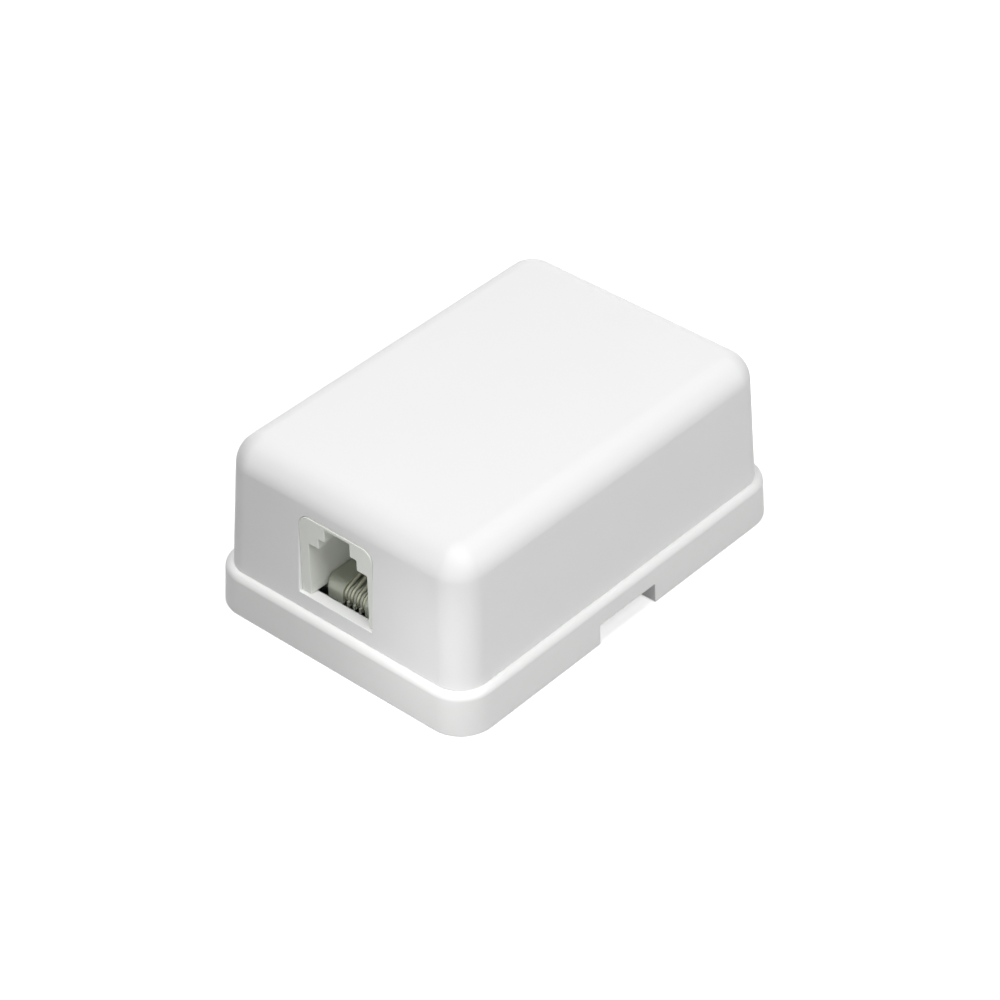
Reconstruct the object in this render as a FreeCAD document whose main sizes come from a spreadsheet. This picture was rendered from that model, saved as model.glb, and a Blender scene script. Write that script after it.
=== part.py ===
import FreeCAD, Part
import Sketcher
import math
import os
import re

# A surface mount jack box: a base plate that is screwed to a wall, a cover that snaps over it and
# carries a six-position modular socket, and four leads from the socket to four terminal screws.
# Frame: X across the box, Y along it with the socket's end at -Y, Z up from the wall side of the base.

CLOSE = 0.005   # two coordinates nearer than this are the same
STEEP = 5       # an upright edge climbs this many times as far as it leans

document = FreeCAD.newDocument("JackBox")
sheet = document.addObject("Spreadsheet::Sheet", "Sizes")

SIZES = {
    # box
    "box_length": 62.0,
    "box_width": 43.6,
    "box_height": 25.4,
    # base
    "rim_height": 6.1,
    "rim_corner": 4.9,
    "rim_draft": 2.5,
    "rim_round": 0.9,
    "rim_skirt": 1.7,
    "rim_inside": 1.5,
    "core_start": 8.0,
    "core_end": 3.2,
    "core_rib": 1.6,
    "floor_thick": 2.0,
    "lip_rise": 2.7,
    "lip_thick": 1.3,
    "lip_gap": 0.25,
    "well_corner": 1.2,
    "notch_width": 10.75,
    "notch_height": 2.9,
    "notch_run": 6.4,
    "mount_spacing": 34.0,
    "mount_hole": 4.2,
    "mount_boss": 8.4,
    "mount_boss_rise": 1.0,
    # terminals
    "post_offset": 11.5,
    "post_margin": 5.2,
    "post_pitch": 10.5,
    "post_size": 7.0,
    "post_rise": 4.4,
    "insert_size": 4.4,
    "insert_length": 3.8,
    "insert_flange": 5.6,
    "insert_flange_thick": 0.5,
    "insert_gap": 0.1,
    "screw_size": 2.8,
    "screw_fit": 0.05,
    "screw_tip_gap": 0.2,
    "screw_chamfer": 0.4,
    "head_size": 6.0,
    "head_height": 1.8,
    "head_dome": 0.6,
    "slot_width": 0.9,
    "slot_depth": 0.9,
    "washer_size": 6.4,
    "washer_hole": 3.2,
    "washer_thick": 0.5,
    "lug_width": 6.0,
    "lug_slot": 3.2,
    "lug_thick": 0.5,
    "lug_neck": 2.4,
    "lug_gap": 0.2,
    "barrel_size": 2.2,
    "barrel_length": 3.0,
    # cover
    "cover_inset": 1.25,
    "cover_wall": 2.0,
    "cover_draft": 3.0,
    "cover_round": 4.0,
    "cover_corner_over": 0.1,
    "bead_place": 14.0,
    "bead_length": 7.0,
    "bead_level": 1.4,
    "bead_foot": 0.8,
    "bead_crest": 0.1,
    "bead_proud": 0.2,
    "groove_half": 0.6,
    "groove_depth": 0.3,
    "groove_ease": 0.3,
    "window_shift": -0.52,
    "window_width": 12.4,
    "window_sill": 8.4,
    "window_head": 4.9,
    "window_corner": 1.8,
    "window_fit": 0.1,
    # socket housing
    "face_inset": 0.62,
    "jack_depth": 14.5,
    "jack_drop": 1.8,
    "face_edge": 0.15,
    "flange_reach": 1.6,
    "flange_thick": 1.6,
    "flange_short": 1.0,
    "flange_play": 0.02,
    "sill_play": 0.2,
    "clip_thick": 1.2,
    "clip_gap": 0.1,
    "clip_play": 0.05,
    "clip_bite": 0.9,
    "clip_nose": 1.6,
    "clip_land": 0.5,
    "clip_lift": 1.0,
    "clip_height": 8.5,
    "gate_gap": 0.6,
    "socket_shift": 0.32,
    "socket_width": 9.72,
    "rear_wall": 1.0,
    "latch_width": 6.33,
    "latch_rise": 1.55,
    "latch_run": 10.5,
    "lever_width": 4.16,
    "lever_rise": 3.5,
    "lever_web": 0.45,
    "front_lip": 2.4,
    "chamber_short": 0.35,
    # contact carrier and contact wires
    "carrier_fit": 0.06,
    "nose_setback": 3.8,
    "nose_radius": 1.38,
    "nose_rib": 1.05,
    "wire_size": 0.46,
    "wire_fit": 0.04,
    "wire_bend": 1.05,
    "wire_tail": 2.6,
    "wire_tip_reach": 0.63,
    "wire_tail_room": 0.5,
    "wire_slope": 24.0,
    "wire_pitch": 1.02,
    "comb_slot": 0.66,
    "comb_fit": 0.1,
    "comb_thick": 2.8,
    "comb_wall": 0.8,
    "comb_gap": 1.77,
    "rib_stop": 1.0,
    "rear_step": 0.3,
    "rear_gap": 0.1,
    "nub_size": 1.7,
    "nub_fit": 0.05,
    "nub_reach": 0.7,
    "nub_setback": 8.5,
    # leads
    "lead_size": 1.3,
    "lead_fit": 0.05,
    "lead_pitch": 2.2,
    "lead_seat": 3.2,
    "lead_crimp": 2.4,
    "lead_end_gap": 0.2,
    "lead_straight": 1.6,
    "lead_run_in": 2.9,
    # modelling
    "overrun": 1.0,
    "sink": 0.4,
}

# Sizes that follow from the sheet's, each a formula of them or of the names above it.
FORMULAS = {
    "foot_x": "box_width / 2 - cover_inset",
    "foot_y": "box_length / 2 - cover_inset",
    "cover_rise": "box_height - rim_height",
    "cover_lean": "tan(cover_draft)",
    "inner_x": "foot_x - cover_wall",
    "inner_y": "foot_y - cover_wall",
    "lip_x": "inner_x - lip_gap",
    "lip_y": "inner_y - lip_gap",
    "cover_corner": "cover_round + cover_corner_over",
    "lip_corner": "cover_corner - cover_wall - lip_gap",
    "well_x": "lip_x - lip_thick",
    "well_y": "lip_y - lip_thick",
    "lip_top": "rim_height + lip_rise",
    "core_inner_x": "well_x + rim_inside",
    "core_outer_x": "box_width / 2 - rim_skirt",
    "core_inner_y": "well_y + rim_inside",
    "core_outer_y": "box_length / 2 - rim_skirt",
    "bead_height": "rim_height + bead_level",
    "bead_face": "inner_x - bead_level * cover_lean",
    "groove_face": "lip_x - bead_level * cover_lean - groove_depth",
    "post_far": "well_y - post_margin",
    "post_near": "post_far - post_pitch",
    "post_top": "floor_thick + post_rise",
    "lug_level": "post_top + insert_flange_thick",
    "washer_level": "lug_level + lug_thick",
    "head_level": "washer_level + washer_thick",
    "screw_tip": "post_top - insert_length + screw_tip_gap",
    "barrel_start": "washer_size / 2 + lug_gap",
    "barrel_end": "barrel_start + barrel_length",
    "lead_bore": "lead_size / 2 + lead_fit",
    "window_top": "box_height - window_head",
    "window_half": "window_width / 2",
    "jack_half": "window_half - window_fit",
    "jack_top": "window_top - window_fit",
    "jack_bottom": "window_sill - jack_drop",
    "jack_face": "face_inset - foot_y",
    "jack_rear": "jack_face + jack_depth",
    "wall_inside": "jack_face + cover_wall - face_inset",
    "flange_front": "wall_inside + (window_top - rim_height) * cover_lean + flange_play",
    "flange_rear": "flange_front + flange_thick",
    "flange_half": "jack_half + flange_reach",
    "clip_inner": "flange_half + clip_gap",
    "clip_outer": "clip_inner + clip_thick",
    "gate_half": "clip_outer + gate_gap",
    "sill_rear": "wall_inside + (window_sill - rim_height) * cover_lean + sill_play",
    "socket_centre": "window_shift + socket_shift",
    "socket_half": "socket_width / 2",
    "socket_depth": "jack_depth - rear_wall",
    "socket_top": "jack_top - lever_web - lever_rise",
    "latch_top": "socket_top + latch_rise",
    "lever_top": "socket_top + lever_rise",
    "nose_y": "jack_face + nose_setback",
    "carrier_top": "window_sill + nose_radius",
    "carrier_bottom": "window_sill - nose_radius",
    "groove_radius": "wire_bend - wire_size / 2 - wire_fit",
    "comb_top": "socket_top - comb_gap",
    "comb_back": "socket_depth - comb_fit",
    "comb_front": "comb_back - comb_thick",
    "rear_top": "carrier_top + rear_step",
    "first_wire": "socket_centre - 1.5 * wire_pitch",
    "wire_reach": "comb_front - nose_setback + wire_tip_reach",
    "wire_arm": "wire_reach / cos(wire_slope) + wire_bend * tan(wire_slope)",
}

for row, (alias, number) in enumerate(SIZES.items(), start=1):
    sheet.set(f"A{row}", alias.replace("_", " "))
    sheet.set(f"B{row}", str(number))
    sheet.setAlias(f"B{row}", alias)
document.recompute()


def formula(text):
    """Spell out derived names in a formula and lead each size with the sheet's name."""
    def spell(match):
        word = match.group(0)
        if word in FORMULAS:
            return f"({formula(FORMULAS[word])})"
        return f"Sizes.{word}" if word in SIZES else word
    return re.sub(r"[a-z][a-z_]*[a-z]", spell, text)


def value(text):
    """The number that a formula has now, in millimetres or degrees."""
    return float(sheet.evalExpression(formula(text)))


# ---------------------------------------------------------------- sketches and features

def new_body(label):
    body = document.addObject("PartDesign::Body", label)
    body.Label = label
    return body


def new_sketch(body, plane, offset="0"):
    """A sketch on one of the body's own origin planes, moved along that plane's normal."""
    sketch = body.newObject("Sketcher::SketchObject", body.Name + "_sketch")
    origin_plane = next(item for item in body.Origin.OriginFeatures if item.Role == plane)
    sketch.AttachmentSupport = [(origin_plane, "")]
    sketch.MapMode = "FlatFace"
    sketch.setExpression("AttachmentOffset.Base.z", formula(offset))
    return sketch


def tie(sketch, kind, element, end, text):
    """Give one end of a line or arc, or a circle's centre, a distance from the sketch's origin."""
    index = sketch.addConstraint(Sketcher.Constraint(kind, -1, 1, element, end, value(text)))
    sketch.setExpression(f"Constraints[{index}]", formula(text))


def place_point(sketch, element, end, x, y):
    tie(sketch, "DistanceX", element, end, x)
    tie(sketch, "DistanceY", element, end, y)


def draw_polygon(sketch, corners):
    """A closed outline of straight lines, each corner a pair of formulas."""
    points = [FreeCAD.Vector(value(x), value(y), 0) for x, y in corners]
    lines = [sketch.addGeometry(Part.LineSegment(points[i], points[(i + 1) % len(points)]))
             for i in range(len(points))]
    for i, line in enumerate(lines):
        sketch.addConstraint(Sketcher.Constraint("Coincident", line, 2, lines[(i + 1) % len(lines)], 1))
        place_point(sketch, line, 1, *corners[i])


def draw_box(sketch, left, right, bottom, top):
    draw_polygon(sketch, [(left, bottom), (right, bottom), (right, top), (left, top)])


def draw_circle(sketch, x, y, radius):
    centre = FreeCAD.Vector(value(x), value(y), 0)
    circle = sketch.addGeometry(Part.Circle(centre, FreeCAD.Vector(0, 0, 1), value(radius)))
    place_point(sketch, circle, 3, x, y)
    index = sketch.addConstraint(Sketcher.Constraint("Radius", circle, value(radius)))
    sketch.setExpression(f"Constraints[{index}]", formula(radius))


def extrude(body, kind, sketch, length, reverse=False, both=False, taper="0"):
    """A Pad or Pocket of a sketch, by default along a pad's normal or against a pocket's."""
    feature = body.newObject("PartDesign::" + kind, body.Name + "_" + kind.lower())
    feature.Profile = sketch
    feature.setExpression("Length", formula(length))
    feature.setExpression("TaperAngle", formula(taper))
    feature.Reversed = reverse
    feature.Midplane = both
    document.recompute()
    return feature


def pad(body, sketch, length, **options):
    return extrude(body, "Pad", sketch, length, **options)


def pocket(body, sketch, length, **options):
    volume = body.Shape.Volume
    feature = extrude(body, "Pocket", sketch, length, **options)
    if not feature.Shape.Volume < volume:
        raise RuntimeError(f"{feature.Name} cuts nothing")
    return feature


def edges_of(body, wanted):
    """The names of the edges of a body's tip whose two ends and middle satisfy a test."""
    names = []
    for number, edge in enumerate(body.Tip.Shape.Edges, start=1):
        first, last = edge.ParameterRange
        points = [edge.valueAt(first), edge.valueAt((first + last) / 2), edge.valueAt(last)]
        if wanted(points):
            names.append(f"Edge{number}")
    return names


def round_edges(body, wanted, radius, kind="Fillet"):
    """A Fillet or Chamfer of the edges that satisfy a test."""
    base = body.Tip
    names = edges_of(body, wanted)
    feature = body.newObject("PartDesign::" + kind, body.Name + "_" + kind.lower())
    feature.Base = (base, names)
    feature.setExpression("Radius" if kind == "Fillet" else "Size", formula(radius))
    document.recompute()
    return feature


def face_at(body, level):
    """The name of the flat face of a body's tip that lies at a height."""
    return next(f"Face{number}" for number, face in enumerate(body.Tip.Shape.Faces, start=1)
                if near(face.BoundBox.ZMin, level) and near(face.BoundBox.ZMax, level))


def lean_sides(body, angle, level, above="-1"):
    """A draft that leans the upright flat faces above one height inwards from a face at another."""
    base = body.Tip
    faces = [f"Face{number}" for number, face in enumerate(base.Shape.Faces, start=1)
             if abs(face.normalAt(0, 0).z) < CLOSE and face.BoundBox.ZMin > value(above) - CLOSE]
    neutral = face_at(body, level)
    feature = body.newObject("PartDesign::Draft", body.Name + "_draft")
    feature.Base = (base, faces)
    feature.NeutralPlane = (base, [neutral])
    feature.setExpression("Angle", formula(angle))
    document.recompute()
    return feature


def revolve(body, sketch):
    """A full turn of a sketch about its own vertical axis."""
    feature = body.newObject("PartDesign::Revolution", body.Name + "_turn")
    feature.Profile = sketch
    feature.ReferenceAxis = (sketch, ["V_Axis"])
    document.recompute()
    return feature


def near(number, text):
    """Whether a coordinate lies at a formula's value."""
    return abs(number - value(text)) < CLOSE


def upright(points):
    """Whether an edge climbs, leaning no more than a moulding's draft."""
    rise = abs(points[2].z - points[0].z)
    return rise > STEEP * math.hypot(points[2].x - points[0].x, points[2].y - points[0].y)


# ---------------------------------------------------------------- base

def make_base():
    body = new_body("base")
    foot = new_sketch(body, "XY_Plane")
    draw_box(foot, "-box_width / 2", "box_width / 2", "-box_length / 2", "box_length / 2")
    pad(body, foot, "rim_height")
    lean_sides(body, "rim_draft", "0")
    round_edges(body, upright, "rim_corner")
    round_edges(body, lambda points: all(near(p.z, "rim_height") for p in points), "rim_round")

    # The lip stands inside the cover's wall and leans with it.
    lip = new_sketch(body, "XY_Plane", "rim_height")
    draw_box(lip, "-lip_x", "lip_x", "-lip_y", "lip_y")
    pad(body, lip, "lip_rise")
    lean_sides(body, "cover_draft", "rim_height", above="rim_height")
    round_edges(body, lambda points: upright(points) and max(p.z for p in points) > value("lip_top") - CLOSE,
                "lip_corner")

    well = new_sketch(body, "XY_Plane", "lip_top")
    draw_box(well, "-well_x", "well_x", "-well_y", "well_y")
    pocket(body, well, "lip_top - floor_thick")
    round_edges(body, lambda points: upright(points) and all(near(abs(p.x), "well_x") for p in points),
                "well_corner")

    # The lip stops at the socket, which reaches below its top.
    gate = new_sketch(body, "XY_Plane", "lip_top")
    draw_box(gate, "window_shift - gate_half", "window_shift + gate_half",
             "-lip_y - overrun", "-well_y + overrun")
    pocket(body, gate, "lip_rise")

    make_snap_grooves(body)
    make_cores(body)

    # The cable comes in under the rim and up through a slot in the floor.
    notch = new_sketch(body, "YZ_Plane", "box_width / 2 + overrun")
    draw_box(notch, "-notch_width / 2", "notch_width / 2", "-overrun", "notch_height")
    pocket(body, notch, "box_width / 2 + overrun - well_x + notch_run")

    bosses = new_sketch(body, "XY_Plane", "floor_thick")
    holes = new_sketch(body, "XY_Plane", "floor_thick + mount_boss_rise")
    posts = new_sketch(body, "XY_Plane", "floor_thick")
    sockets = new_sketch(body, "XY_Plane", "post_top")
    for end in ("-", ""):
        draw_circle(bosses, "0", end + "mount_spacing / 2", "mount_boss / 2")
        draw_circle(holes, "0", end + "mount_spacing / 2", "mount_hole / 2")
    for x, y in TERMINALS:
        draw_circle(posts, x, y, "post_size / 2")
        draw_circle(sockets, x, y, "insert_size / 2")
    pad(body, bosses, "mount_boss_rise")
    pocket(body, holes, "floor_thick + mount_boss_rise + overrun")
    pad(body, posts, "post_rise", taper="-1")
    pocket(body, sockets, "insert_length")
    return body


def make_snap_grooves(body):
    """Recesses in the lip's long sides for the cover's beads."""
    for end in ("-", ""):
        sketch = new_sketch(body, "XZ_Plane", "-(" + end + "bead_place)")
        low, high = "bead_height - groove_half", "bead_height + groove_half"
        draw_box(sketch, "groove_face", "lip_x + overrun", low, high)
        draw_box(sketch, "-lip_x - overrun", "-groove_face", low, high)
        pocket(body, sketch, "bead_length + 2 * groove_ease", both=True)


def make_cores(body):
    """Hollow the thick rim from below, with ribs left at the corners, the notch and mid-end."""
    cores = new_sketch(body, "XY_Plane")
    for side in ("-", ""):
        for end in ("-", ""):
            draw_box(cores, side + "core_inner_x", side + "core_outer_x",
                     end + "core_start", end + "(well_y - core_end)")
            draw_box(cores, side + "core_rib / 2", side + "(well_x - core_end)",
                     end + "core_inner_y", end + "core_outer_y")
    pocket(body, cores, "rim_height - rim_skirt", reverse=True)


# Terminal 1 is left of the centre line and nearer the socket; 2 is beyond it; 3 and 4 are their
# neighbours on the right.
TERMINALS = [
    ("-post_offset", "post_near"),
    ("-post_offset", "post_far"),
    ("post_offset", "post_far"),
    ("post_offset", "post_near"),
]


# ---------------------------------------------------------------- cover

def make_cover():
    body = new_body("cover")
    foot = new_sketch(body, "XY_Plane", "rim_height")
    draw_box(foot, "-foot_x", "foot_x", "-foot_y", "foot_y")
    pad(body, foot, "cover_rise")
    lean_sides(body, "cover_draft", "rim_height")
    round_edges(body, upright, "cover_corner")
    round_edges(body, lambda points: all(near(p.z, "box_height") for p in points),
                "cover_round")

    block = body.Tip
    underside = face_at(body, "rim_height")
    shell = body.newObject("PartDesign::Thickness", "cover_shell")
    shell.Base = (block, [underside])
    shell.setExpression("Value", formula("cover_wall"))
    shell.Reversed = True
    document.recompute()

    window = new_sketch(body, "XZ_Plane", "foot_y + overrun")
    draw_box(window, "window_shift - window_half", "window_shift + window_half", "window_sill", "window_top")
    pocket(body, window, "2 * overrun + cover_wall + cover_rise * cover_lean")
    round_edges(body, lambda points: all(
        near(p.z, "window_top") and near(abs(p.x - value("window_shift")), "window_half") for p in points),
        "window_corner")

    make_clips(body)
    make_snap_beads(body)
    return body


def make_clips(body):
    """Two hooked arms on the end wall, which hold the socket's flanges against it."""
    for side in ("-", "+"):
        inner = f"window_shift {side} clip_inner"
        outer = f"window_shift {side} clip_outer"
        tooth = f"window_shift {side} (clip_inner - clip_bite)"
        sketch = new_sketch(body, "XY_Plane", "window_sill + clip_lift")
        draw_polygon(sketch, [
            (inner, "-inner_y - sink"),
            (inner, "flange_rear + clip_play"),
            (tooth, "flange_rear + clip_play"),
            (tooth, "flange_rear + clip_land"),
            (inner, "flange_rear + clip_nose"),
            (outer, "flange_rear + clip_nose"),
            (outer, "-inner_y - sink"),
        ])
        pad(body, sketch, "clip_height")


def make_snap_beads(body):
    """Low ridges inside the long walls, which click into the lip's grooves."""
    for end in ("-", ""):
        sketch = new_sketch(body, "XZ_Plane", "-(" + end + "bead_place)")
        for side in ("-", ""):
            draw_polygon(sketch, [
                (side + "(bead_face + sink)", "bead_height - bead_foot"),
                (side + "(bead_face - bead_proud)", "bead_height - bead_crest"),
                (side + "(bead_face - bead_proud)", "bead_height + bead_crest"),
                (side + "(bead_face + sink)", "bead_height + bead_foot"),
            ])
        pad(body, sketch, "bead_length", both=True)


# ---------------------------------------------------------------- socket housing

def make_jack_housing():
    body = new_body("jack_housing")
    front = "-jack_face"
    left, right = "window_shift - jack_half", "window_shift + jack_half"
    block = new_sketch(body, "XZ_Plane", front)
    draw_box(block, left, right, "jack_bottom", "jack_top")
    pad(body, block, "jack_depth", reverse=True)
    round_edges(body, lambda points: all(near(p.z, "jack_top") for p in points)
                and abs(points[0].x - points[2].x) < CLOSE, "window_corner - window_fit")

    # Below the sill the housing starts behind the cover's wall.
    step = new_sketch(body, "XZ_Plane", front + " + overrun")
    draw_box(step, left + " - overrun", right + " + overrun", "jack_bottom - overrun", "window_sill")
    pocket(body, step, "sill_rear - jack_face + overrun")
    round_edges(body, lambda points: all(near(p.y, "jack_face") for p in points)
                and max(p.z for p in points) > value("window_sill") + CLOSE, "face_edge", kind="Chamfer")

    flange = new_sketch(body, "XZ_Plane", "-flange_front")
    draw_box(flange, "window_shift - flange_half", "window_shift + flange_half",
             "jack_bottom", "jack_top - flange_short")
    pad(body, flange, "flange_thick", reverse=True)

    # The mouth: the plug's bay, and the two steps that its latch passes through.
    chamber = "jack_face + front_lip"
    for half, top, start, run in (
            ("socket_half", "socket_top", "jack_face", "socket_depth"),
            ("latch_width / 2", "latch_top", "jack_face", "latch_run"),
            ("lever_width / 2", "lever_top", "jack_face", "front_lip"),
            ("latch_width / 2", "lever_top - chamber_short", chamber, "latch_run - front_lip")):
        sketch = new_sketch(body, "XZ_Plane", f"-({start})")
        draw_box(sketch, f"socket_centre - {half}", f"socket_centre + {half}", "jack_bottom - overrun", top)
        pocket(body, sketch, run)

    # The carrier's tail and the leads leave under the rear wall.
    tail = new_sketch(body, "XZ_Plane", "-(jack_face + socket_depth - sink)")
    draw_box(tail, "socket_centre - socket_half", "socket_centre + socket_half",
             "jack_bottom - overrun", "rear_top + rear_gap")
    pocket(body, tail, "rear_wall + 2 * sink")

    nubs = new_sketch(body, "YZ_Plane", "window_shift")
    draw_circle(nubs, "jack_face + nub_setback", "window_sill", "nub_size / 2 + nub_fit")
    pocket(body, nubs, "2 * (jack_half + overrun)", both=True)
    return body


# ---------------------------------------------------------------- contact carrier and contacts

def draw_nosed(sketch, corners):
    """A chain of straight lines closed by a half turn about the nose's centre.

    The first corner is right below that centre and the last right above it, as far away.
    """
    points = [FreeCAD.Vector(value(x), value(y), 0) for x, y in corners]
    centre = FreeCAD.Vector(points[0].x, (points[0].y + points[-1].y) / 2, 0)
    circle = Part.Circle(centre, FreeCAD.Vector(0, 0, 1), points[-1].y - centre.y)
    lines = [sketch.addGeometry(Part.LineSegment(first, last)) for first, last in zip(points, points[1:])]
    for i, line in enumerate(lines):
        place_point(sketch, line, 1, *corners[i])
        if i > 0:
            sketch.addConstraint(Sketcher.Constraint("Coincident", lines[i - 1], 2, line, 1))
    place_point(sketch, lines[-1], 2, *corners[-1])
    arc = sketch.addGeometry(Part.ArcOfCircle(circle, math.pi / 2, 3 * math.pi / 2))
    sketch.addConstraint(Sketcher.Constraint("Coincident", arc, 1, lines[-1], 2))
    sketch.addConstraint(Sketcher.Constraint("Coincident", arc, 2, lines[0], 1))
    tie(sketch, "DistanceX", arc, 3, corners[0][0])


def cut_round_nose(body, place, width, radius, below, rear):
    """Cut a slot round the nose, down to a radius about its centre, and on to its ends at the rear."""
    sketch = new_sketch(body, "YZ_Plane", place)
    draw_nosed(sketch, [
        ("nose_y", f"window_sill - {radius}"),
        (below, f"window_sill - {radius}"),
        (below, "carrier_bottom - overrun"),
        ("nose_y - nose_radius - overrun", "carrier_bottom - overrun"),
        ("nose_y - nose_radius - overrun", "comb_top + overrun"),
        (rear, "comb_top + overrun"),
        (rear, f"window_sill + {radius}"),
        ("nose_y", f"window_sill + {radius}"),
    ])
    pocket(body, sketch, width, both=True)


def make_contact_carrier():
    """The moulded insert that guides the contact wires round its nose and into its comb."""
    body = new_body("contact_carrier")
    side = new_sketch(body, "YZ_Plane", "socket_centre")
    draw_nosed(side, [
        ("nose_y", "carrier_bottom"),
        ("jack_rear", "carrier_bottom"),
        ("jack_rear", "rear_top"),
        ("jack_face + comb_back", "rear_top"),
        ("jack_face + comb_back", "comb_top"),
        ("jack_face + comb_front", "comb_top"),
        ("jack_face + comb_front", "carrier_top"),
        ("nose_y", "carrier_top"),
    ])
    pad(body, side, "socket_width - 2 * carrier_fit", both=True)

    nubs = new_sketch(body, "YZ_Plane", "socket_centre")
    draw_circle(nubs, "jack_face + nub_setback", "window_sill", "nub_size / 2")
    pad(body, nubs, "socket_width + 2 * nub_reach", both=True)

    # The ribs between the wires are lower than the shoulders beside them.
    cut_round_nose(body, "socket_centre", "3 * wire_pitch + comb_slot", "nose_rib",
                   below="nose_y + nose_rib", rear="jack_face + comb_front - rib_stop")
    for number in range(4):
        cut_round_nose(body, f"first_wire + {number} * wire_pitch", "comb_slot", "groove_radius",
                       below="nose_y + wire_tail + wire_tail_room", rear="jack_face + comb_back - comb_wall")

    bores = new_sketch(body, "XZ_Plane", "-jack_rear")
    for number in range(4):
        draw_circle(bores, lead_place(number), "window_sill", "lead_bore")
    pocket(body, bores, "lead_seat + lead_end_gap", reverse=True)
    return body


def lead_place(number):
    """The X of a lead's bore in the carrier's tail."""
    return f"socket_centre + {number - 1.5} * lead_pitch"


def make_contact_wire(number):
    """A round spring wire: a tail under the carrier, a bend round its nose, and the arm."""
    body = new_body(f"contact_wire_{number + 1}")
    spine = new_sketch(body, "YZ_Plane", f"first_wire + {number} * wire_pitch")
    tail = ("nose_y + wire_tail", "window_sill - wire_bend")
    under = ("nose_y", "window_sill - wire_bend")
    over = ("nose_y - wire_bend * sin(wire_slope)", "window_sill + wire_bend * cos(wire_slope)")
    tip = (over[0] + " + wire_arm * cos(wire_slope)", over[1] + " + wire_arm * sin(wire_slope)")
    points = [FreeCAD.Vector(value(x), value(y), 0) for x, y in (tail, under, over, tip)]
    circle = Part.Circle(FreeCAD.Vector(value("nose_y"), value("window_sill"), 0),
                         FreeCAD.Vector(0, 0, 1), value("wire_bend"))
    leg = spine.addGeometry(Part.LineSegment(points[0], points[1]))
    turn = math.radians(90 + value("wire_slope"))
    bend = spine.addGeometry(Part.ArcOfCircle(circle, turn, 3 * math.pi / 2))
    arm = spine.addGeometry(Part.LineSegment(points[2], points[3]))
    place_point(spine, leg, 1, *tail)
    place_point(spine, leg, 2, *under)
    place_point(spine, arm, 1, *over)
    place_point(spine, arm, 2, *tip)
    spine.addConstraint(Sketcher.Constraint("Coincident", leg, 2, bend, 2))
    spine.addConstraint(Sketcher.Constraint("Coincident", bend, 1, arm, 1))
    tie(spine, "DistanceX", bend, 3, "nose_y")

    section = new_sketch(body, "XZ_Plane", "-(nose_y + wire_tail)")
    draw_circle(section, f"first_wire + {number} * wire_pitch", tail[1], "wire_size / 2")
    document.recompute()
    wire = body.newObject("PartDesign::AdditivePipe", body.Name + "_wire")
    wire.Profile = section
    wire.Spine = spine
    document.recompute()
    return body


# ---------------------------------------------------------------- terminals

def at_terminal(body, number, level, turned=False):
    """Seat a body over a terminal's post, turned so that what points inwards does so."""
    x, y = TERMINALS[number]
    if turned and not x.startswith("-"):
        body.Placement = FreeCAD.Placement(FreeCAD.Vector(), FreeCAD.Rotation(FreeCAD.Vector(0, 0, 1), 180))
    body.setExpression("Placement.Base.x", formula(x))
    body.setExpression("Placement.Base.y", formula(y))
    body.setExpression("Placement.Base.z", formula(level))


def make_terminal_insert(number):
    """A flanged brass bush that is pressed into the post; its origin is the post's top."""
    body = new_body(f"terminal_insert_{number + 1}")
    half = new_sketch(body, "XZ_Plane")
    bore, barrel, flange = "screw_size / 2 + screw_fit", "insert_size / 2", "insert_flange / 2"
    draw_polygon(half, [
        (bore, "-insert_length + insert_gap"),
        (barrel, "-insert_length + insert_gap"),
        (barrel, "0"),
        (flange, "0"),
        (flange, "insert_flange_thick"),
        (bore, "insert_flange_thick"),
    ])
    revolve(body, half)
    at_terminal(body, number, "post_top")


def make_terminal_washer(number):
    body = new_body(f"terminal_washer_{number + 1}")
    half = new_sketch(body, "XZ_Plane")
    draw_box(half, "washer_hole / 2", "washer_size / 2", "0", "washer_thick")
    revolve(body, half)
    at_terminal(body, number, "washer_level")


def make_terminal_screw(number):
    """A binding-head screw with a slot; its origin is the underside of the head."""
    body = new_body(f"terminal_screw_{number + 1}")
    half = new_sketch(body, "XZ_Plane")
    draw_polygon(half, [
        ("0", "screw_tip - head_level"),
        ("screw_size / 2 - screw_chamfer", "screw_tip - head_level"),
        ("screw_size / 2", "screw_tip - head_level + screw_chamfer"),
        ("screw_size / 2", "0"),
        ("head_size / 2", "0"),
        ("head_size / 2", "head_height - head_dome"),
        ("head_size / 2 - head_dome", "head_height"),
        ("0", "head_height"),
    ])
    revolve(body, half)
    slot = new_sketch(body, "XY_Plane", "head_height")
    draw_box(slot, "-head_size", "head_size", "-slot_width / 2", "slot_width / 2")
    pocket(body, slot, "slot_depth")
    at_terminal(body, number, "head_level")


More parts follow.
